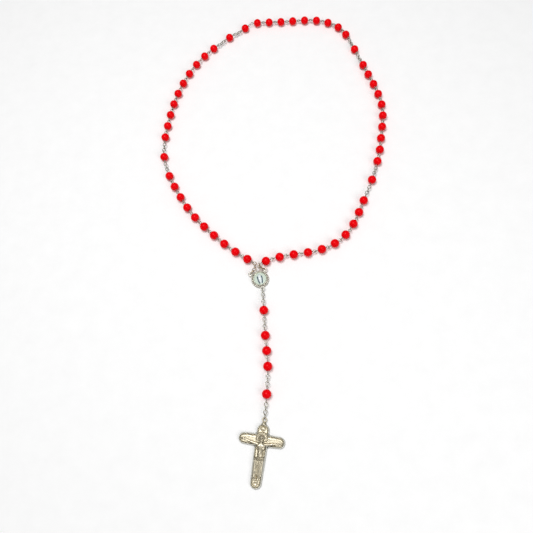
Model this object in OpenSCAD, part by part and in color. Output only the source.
// A five-decade rosary laid out flat: a loop of beads on wire eye pins, a centrepiece and a crucifix.
// Lengths are in millimetres. The origin is the centre of the centrepiece's flat back, +Z is away from
// the table, +Y points to the far end of the loop and -Y to the crucifix.

/* [Beads] */
// Diameter of every prayer bead
bead_d = 6; // [5.7:0.1:6.2]
// Diameter of the bore through each bead
bead_bore = 0.9; // [0.7:0.05:1.1]

/* [Wire] */
// Diameter of the wire of the eye pins and links
wire_d = 0.5; // [0.42:0.02:0.52]

/* [Centrepiece] */
// Diameter of the cast frame inside its scalloped edge
frame_d = 11.5; // [11.2:0.1:11.8]
// Height of the frame's rim above its back
frame_h = 3; // [2.6:0.1:3.1]
// Diameter of the domed cameo
cameo_d = 8.4; // [7.6:0.1:8.6]
// Number of scallops round the frame
scallops = 26; // [20:1:30]

/* [Crucifix] */
// Distance from the middle of the crossing to the end of each arm
arm_reach = 14.5; // [13:0.5:16]
// Distance from the middle of the crossing to the foot
foot_reach = 28.2; // [26:0.2:30]
// Width of the shaft at the crossing
shaft_w = 8.2; // [7.6:0.1:8.6]
// Thickness of the cross without its relief
cross_t = 1.6; // [1.3:0.1:1.8]

/* [Hidden] */
$fn = 64;

// Mean radius of an eye, half-length and end radius of an oval link, and mean radius of the crucifix's
// ring and of the cast loops
eye_r = 0.95;
link_r = 1.5;
link_bend = 1;
jump_r = 1.6;
tab_r = 1.15;
tab_wire = 0.7;
lug_r = 1.2;
lug_wire = 0.8;
pin_rod = wire_d * 0.9;
eye_reach = 4.45;
bead_z = bead_d / 2;

// Centrepiece
medal_turn = 14;
tab_z = 2.5;
tab_angles = [139, 47, -90];
tab_reach = [7.4, 7.4, 7.2];
floor_h = 1.4;
bezel_d = 9.4;
bezel_wire = 1.1;
scallop_d = 1.3;
scallop_h = 2.3;
rim_wire = 1.2;

// Headings in degrees of the steps from bead to bead, away from the centrepiece
left_first = [146, 142, 138, 136, 133, 127, 122, 119, 116];
left_second = [83, 81, 78, 74, 69, 64, 58, 51, 45];
right_fifth = [16, 9, 7, 12, 24, 39, 54, 64, 67];
right_fourth = [76, 81, 81, 83, 91, 101, 107, 110, 110];
right_third = [126, 146, 162, 174, 180, 180, 178, 179];
left_pitch = 10.1;
right_pitch = 9.8;
far_pitch = 9.62;
left_start = [-8.7, 14.2];
right_start = [4.1, 12.3];
left_steps = concat(
    [for (h = left_first) [h, left_pitch]], [[107, 17.2], [91, 17.2]],
    [for (h = left_second) [h, left_pitch]], [[39, 16.2], [34, 15.3]]);
right_steps = concat(
    [for (h = right_fifth) [h, right_pitch]], [[67, 17.4], [72, 15.6]],
    [for (h = right_fourth) [h, right_pitch]], [[110, 16.6], [112, 16.2]],
    [for (h = right_third) [h, far_pitch]]);
pendant_steps = [[-86.6, 17], [-85, 10.12], [-86, 10.1], [-92.3, 17.4]];
pendant_start = [2.7, -22.4];

function unit(a) = [cos(a), sin(a)];
function walk(p, steps, i = 0) =
    i >= len(steps) ? [p] : concat([p], walk(p + steps[i][1] * unit(steps[i][0]), steps, i + 1));
// Heading of each bead's pin: midway between the steps on its two sides
function pin_heading(steps, i, before, after) =
    ((i == 0 ? before : steps[i - 1][0]) + (i == len(steps) ? after : steps[i][0])) / 2;

left_at = walk(left_start, left_steps);
right_at = walk(right_start, right_steps);
pendant_at = walk(pendant_start, pendant_steps);
left_dir = [for (i = [0:len(left_steps)]) pin_heading(left_steps, i, 146, 46)];
right_dir = [for (i = [0:len(right_steps)]) pin_heading(right_steps, i, 22, 183)];
pendant_dir = [for (i = [0:len(pendant_steps)]) pin_heading(pendant_steps, i, -86.6, -94.5)];

function near_eye(at, dir, i) = at[i] - eye_reach * unit(dir[i]);
function far_eye(at, dir, i) = at[i] + eye_reach * unit(dir[i]);

// Three links between two eyes: spacings shared out evenly, hanging a little in the middle
eye_to_link = eye_r + link_r - wire_d;
link_to_link = 2 * link_r - wire_d;
trio_span = 2 * eye_to_link + 2 * link_to_link;
function trio_slack(a, b) = norm(b - a) / trio_span;
function drop(span, reach, most) =
    min(most, sqrt(max(0, reach * reach - (span - link_r) * (span - link_r))));
function trio_first_drop(s) = drop(s * eye_to_link, 0.38, 0.25);
function trio_second_drop(s) = drop(s * link_to_link - (link_r - link_bend), 0.38, 0.3);
function along(a, b, d) = a + d * (b - a) / norm(b - a);
function heading(a, b) = atan2(b[1] - a[1], b[0] - a[0]);

tab_at = [for (i = [0:2]) tab_reach[i] * unit(tab_angles[i] + medal_turn)];

// Links folded at the top of the centrepiece: position and heading, every other one upright
left_links = [
    [[-5.21, 4.7, 2.61], 45], [[-3.92, 6.41, 2.92], 43],
    [[-3.43, 8.54, 3.11], 84], [[-3.58, 10.71, 3.08], 141]];
right_links = [
    [[1.93, 7.15, 2.52], 163], [[-0.07, 8.09, 2.65], 142], [[-0.22, 9.28, 2.99], 85]];

// Links under the centrepiece and above the crucifix
hang_from = tab_at[2];
hang_to = near_eye(pendant_at, pendant_dir, 0);
tab_to_link = tab_r + link_r - (tab_wire + wire_d) / 2;
hang_slack = norm(hang_to - hang_from) / (tab_to_link + 3 * link_to_link + eye_to_link);
hang_z = [2.45, 2.55, 2.7, 2.85];
lug_at = [3.2, -92.3];
lug_z = 1.7;
cross_turn = -8.3;
foot_from = far_eye(pendant_at, pendant_dir, 4);
link_to_jump = link_r + jump_r - wire_d;
jump_to_lug = jump_r + lug_r - (wire_d + lug_wire) / 2;
foot_slack = norm(lug_at - foot_from) / (eye_to_link + 2 * link_to_link + link_to_jump + jump_to_lug);
foot_z = [2.8, 2.55, 2.3, 2];
function hang_d(i) = hang_slack * (tab_to_link + i * link_to_link);
function foot_d(i) = foot_slack * (eye_to_link + min(i, 2) * link_to_link + max(0, i - 2) * link_to_jump);

// Crucifix, drawn with its crossing at the origin
lug_y = 12.3;
head_reach = 9.9;
tip_d = 7;
head_d = 7.9;
rim_w = 0.8;
rim_t = 0.5;
cross_at = lug_at - lug_y * unit(90 + cross_turn);

module ring(r, w) {
    rotate_extrude() translate([r, 0]) circle(d = w);
}

module upright_ring(r, w, h) {
    rotate([90, 0, h]) ring(r, w);
}

// Oval link with its length along the heading h: round ends joined by straight sides
module link(at, h, upright) {
    side = link_r - link_bend;
    translate(at) rotate([upright ? 90 : 0, 0, h]) {
        for (end = [0, 180]) rotate([0, 0, end]) translate([side, 0, 0]) rotate([0, 0, -90])
            rotate_extrude(angle = 180) translate([link_bend, 0]) circle(d = wire_d);
        for (s = [-1, 1]) translate([0, s * link_bend, 0]) rotate([0, 90, 0])
            cylinder(d = wire_d, h = 2 * side, center = true);
    }
}

module eye_pin(at, dir, i, far_upright = false, near_upright = true) {
    translate([at[i][0], at[i][1], bead_z]) rotate([0, 0, dir[i]]) {
        rotate([0, 90, 0]) cylinder(d = pin_rod, h = 2 * (eye_reach - eye_r), center = true);
        translate([-eye_reach, 0, 0]) rotate([near_upright ? 90 : 0, 0, 0]) ring(eye_r, wire_d);
        translate([eye_reach, 0, 0]) rotate([far_upright ? 90 : 0, 0, 0]) ring(eye_r, wire_d);
    }
}

module bead(at, dir, i) {
    translate([at[i][0], at[i][1], bead_z]) rotate([0, 90, dir[i]]) difference() {
        sphere(d = bead_d);
        cylinder(d = bead_bore, h = 2 * bead_d, center = true);
    }
}

module beads(at, dir, first, last) {
    color("red") for (i = [first:last]) bead(at, dir, i);
}

// The last pin of a decade ends in an upright eye, for the flat link that follows
module pins(at, dir, first, last, ends_decade = false) {
    color("silver") for (i = [first:last]) eye_pin(at, dir, i, ends_decade && i == last);
}

module single_pin(at, dir, i, far_upright = true) {
    color("silver") eye_pin(at, dir, i, far_upright);
}

// Flat, upright and flat link between the eyes a and b
module trio(a, b) {
    s = trio_slack(a, b);
    z1 = bead_z - trio_first_drop(s);
    z2 = z1 - trio_second_drop(s);
    d1 = s * eye_to_link;
    middle = norm(b - a) / 2;
    h = heading(a, b);
    color("silver") {
        link(concat(along(a, b, d1), z1), h, false);
        link(concat(along(a, b, middle), z2), h, true);
        link(concat(along(b, a, d1), z1), h, false);
    }
}

module gap(at, dir, i) {
    trio(far_eye(at, dir, i), near_eye(at, dir, i + 1));
}

// Every other link is upright, the first one too
module folded_links(list) {
    color("silver") for (i = [0:len(list) - 1]) link(list[i][0], list[i][1], i % 2 == 0);
}

module centrepiece_frame() {
    color("silver") rotate([0, 0, medal_turn]) {
        difference() {
            union() {
                cylinder(d = frame_d, h = frame_h - rim_wire / 2);
                translate([0, 0, frame_h - rim_wire / 2]) ring((frame_d - rim_wire) / 2, rim_wire);
                for (i = [0:scallops - 1]) rotate([0, 0, (i + 0.5) * 360 / scallops])
                    translate([frame_d / 2 - 0.2, 0, 0]) cylinder(d = scallop_d, h = scallop_h);
                for (i = [0:2]) rotate([0, 0, tab_angles[i]])
                    translate([tab_reach[i] - 2.2, 0, tab_z - 1.2]) cylinder(d = 2.4, h = 1.4);
            }
            translate([0, 0, floor_h]) cylinder(d = bezel_d, h = frame_h);
            for (i = [0:2]) rotate([0, 0, tab_angles[i]])
                translate([tab_reach[i], 0, -1]) cylinder(r = tab_r, h = frame_h + 2);
        }
        translate([0, 0, floor_h + 0.4]) ring(bezel_d / 2, bezel_wire);
        for (i = [0:2]) rotate([0, 0, tab_angles[i]])
            translate([tab_reach[i], 0, tab_z]) ring(tab_r, tab_wire);
    }
}

// A glassy dome with a standing robed figure in relief
module centrepiece_cameo() {
    dome_r = 7.2;
    dome_top = 3.3;
    color("ivory") translate([0, 0, floor_h + 0.02]) rotate([0, 0, medal_turn]) {
        intersection() {
            translate([0, 0, dome_top - floor_h - dome_r]) sphere(r = dome_r);
            cylinder(d = cameo_d - 0.3, h = frame_h);
        }
        translate([0, -2.8, 1.2]) rotate([-90, 0, 0]) cylinder(r1 = 1.1, r2 = 0.7, h = 4.4);
        translate([0, 2.2, 1.4]) sphere(r = 0.7);
    }
}

// Arms with round ends, the upper one broad; trim draws the outline smaller by that much all round
module cross_plate(trim, h) {
    w = shaft_w / 2 - trim;
    e = tip_d / 2 - trim;
    head = head_d / 2 - trim;
    top = head_reach - head_d / 2;
    foot = foot_reach - tip_d / 2;
    side = arm_reach - tip_d / 2;
    linear_extrude(h) {
        polygon([[-w, 0], [-e, -foot], [e, -foot], [w, 0], [head, top], [-head, top]]);
        polygon([[0, -w], [side, -e], [side, e], [0, w], [-side, e], [-side, -e]]);
        translate([0, top]) circle(r = head);
        for (at = [[0, -foot], [side, 0], [-side, 0]]) translate(at) circle(r = e);
    }
}

// A flat raised strip down the shaft, from half-width w1 at y1 to w2 at y2
module strip(y1, w1, y2, w2, h) {
    translate([0, 0, cross_t - 0.2]) linear_extrude(h)
        polygon([[-w1, y1], [w1, y1], [w2, y2], [-w2, y2]]);
}

// The figure with bowed head, outstretched arms and long cloth, the halo, and a boss above and below
module relief() {
    body_z = cross_t + 0.1;
    arm_y = -2.2;
    translate([0, 1, body_z + 0.4]) sphere(r = 1.5);
    translate([0, 1.4, cross_t + 0.05]) ring(2.7, 0.6);
    strip(-1.2, 2.4, -9.6, 1.7, 1);
    translate([0, -0.3, body_z]) rotate([90, 0, 0]) cylinder(r1 = 1.6, r2 = 1.3, h = 9.1);
    for (s = [-1, 1]) translate([s * 2, arm_y, body_z])
        rotate([0, 90, s > 0 ? 11 : 169]) cylinder(r1 = 0.95, r2 = 0.6, h = 9.4);
    strip(-9.9, 2.5, -14.1, 2.3, 1.4);
    strip(-14.4, 2.1, -23.6, 1.4, 1);
    translate([0, -14.6, body_z]) rotate([90, 0, 0]) cylinder(r1 = 1.5, r2 = 1, h = 8.8);
    translate([0, -25.6, cross_t]) cylinder(r = 1.5, h = 0.6);
    translate([0, 6.9, cross_t]) cylinder(r = 1.4, h = 0.6);
}

// The cast cross with its raised edge, the relief figure, a halo, and the loop at the top
module crucifix() {
    color("darkkhaki") translate(concat(cross_at, 0)) rotate([0, 0, cross_turn]) {
        difference() {
            cross_plate(0, cross_t + rim_t);
            translate([0, 0, cross_t]) cross_plate(rim_w, 2 * rim_t);
        }
        relief();
        difference() {
            translate([0, head_reach, 0.4]) cylinder(d = 4.4, h = cross_t);
            translate([0, lug_y, -1]) cylinder(r = lug_r, h = 2 * lug_y);
        }
        translate([0, lug_y, lug_z]) ring(lug_r, lug_wire);
    }
}

module crucifix_ring() {
    color("silver") translate(concat(along(foot_from, lug_at, foot_d(3)), foot_z[3]))
        upright_ring(jump_r, wire_d, heading(foot_from, lug_at));
}

module pendant_links_top() {
    h = heading(hang_from, hang_to);
    color("silver") for (i = [0:3])
        link(concat(along(hang_from, hang_to, hang_d(i)), hang_z[i]), h, i % 2 == 0);
}

module pendant_links_foot() {
    h = heading(foot_from, lug_at);
    color("silver") for (i = [0:2])
        link(concat(along(foot_from, lug_at, foot_d(i)), foot_z[i]), h, i == 1);
}

module right_run_1_pins() {
    color("silver") {
        eye_pin(right_at, right_dir, 0, false, false);
        for (i = [1:4]) eye_pin(right_at, right_dir, i);
    }
}

centrepiece_frame();
centrepiece_cameo();
pendant_links_top();
beads(pendant_at, pendant_dir, 0, 0);  // pendant_bead_1
single_pin(pendant_at, pendant_dir, 0);  // pendant_pin_1
gap(pendant_at, pendant_dir, 0);  // pendant_links_upper
beads(pendant_at, pendant_dir, 1, 1);  // pendant_bead_2
single_pin(pendant_at, pendant_dir, 1, false);  // pendant_pin_2
beads(pendant_at, pendant_dir, 2, 2);  // pendant_bead_3
single_pin(pendant_at, pendant_dir, 2, false);  // pendant_pin_3
beads(pendant_at, pendant_dir, 3, 3);  // pendant_bead_4
single_pin(pendant_at, pendant_dir, 3);  // pendant_pin_4
gap(pendant_at, pendant_dir, 3);  // pendant_links_lower
beads(pendant_at, pendant_dir, 4, 4);  // pendant_bead_5
single_pin(pendant_at, pendant_dir, 4);  // pendant_pin_5
pendant_links_foot();
crucifix_ring();
crucifix();
folded_links(left_links);  // left_links_top
beads(left_at, left_dir, 0, 4);  // left_run_1_beads
pins(left_at, left_dir, 0, 4);  // left_run_1_pins
beads(left_at, left_dir, 5, 9);  // left_run_2_beads
pins(left_at, left_dir, 5, 9, true);  // left_run_2_pins
gap(left_at, left_dir, 9);  // left_links_1
beads(left_at, left_dir, 10, 10);  // left_big_bead_1
single_pin(left_at, left_dir, 10);  // left_big_pin_1
gap(left_at, left_dir, 10);  // left_links_2
beads(left_at, left_dir, 11, 15);  // left_run_3_beads
pins(left_at, left_dir, 11, 15);  // left_run_3_pins
beads(left_at, left_dir, 16, 20);  // left_run_4_beads
pins(left_at, left_dir, 16, 20, true);  // left_run_4_pins
gap(left_at, left_dir, 20);  // left_links_3
beads(left_at, left_dir, 21, 21);  // left_big_bead_2
single_pin(left_at, left_dir, 21);  // left_big_pin_2
gap(left_at, left_dir, 21);  // left_links_4
beads(left_at, left_dir, 22, 22);  // left_end_bead
single_pin(left_at, left_dir, 22);  // left_end_pin
folded_links(right_links);  // right_links_top
beads(right_at, right_dir, 0, 4);  // right_run_1_beads
right_run_1_pins();
beads(right_at, right_dir, 5, 9);  // right_run_2_beads
pins(right_at, right_dir, 5, 9, true);  // right_run_2_pins
gap(right_at, right_dir, 9);  // right_links_1
beads(right_at, right_dir, 10, 10);  // right_big_bead_1
single_pin(right_at, right_dir, 10);  // right_big_pin_1
gap(right_at, right_dir, 10);  // right_links_2
beads(right_at, right_dir, 11, 15);  // right_run_3_beads
pins(right_at, right_dir, 11, 15);  // right_run_3_pins
beads(right_at, right_dir, 16, 20);  // right_run_4_beads
pins(right_at, right_dir, 16, 20, true);  // right_run_4_pins
gap(right_at, right_dir, 20);  // right_links_3
beads(right_at, right_dir, 21, 21);  // right_big_bead_2
single_pin(right_at, right_dir, 21);  // right_big_pin_2
gap(right_at, right_dir, 21);  // right_links_4
beads(right_at, right_dir, 22, 26);  // right_run_5_beads
pins(right_at, right_dir, 22, 26);  // right_run_5_pins
beads(right_at, right_dir, 27, 30);  // right_run_6_beads
pins(right_at, right_dir, 27, 30);  // right_run_6_pins
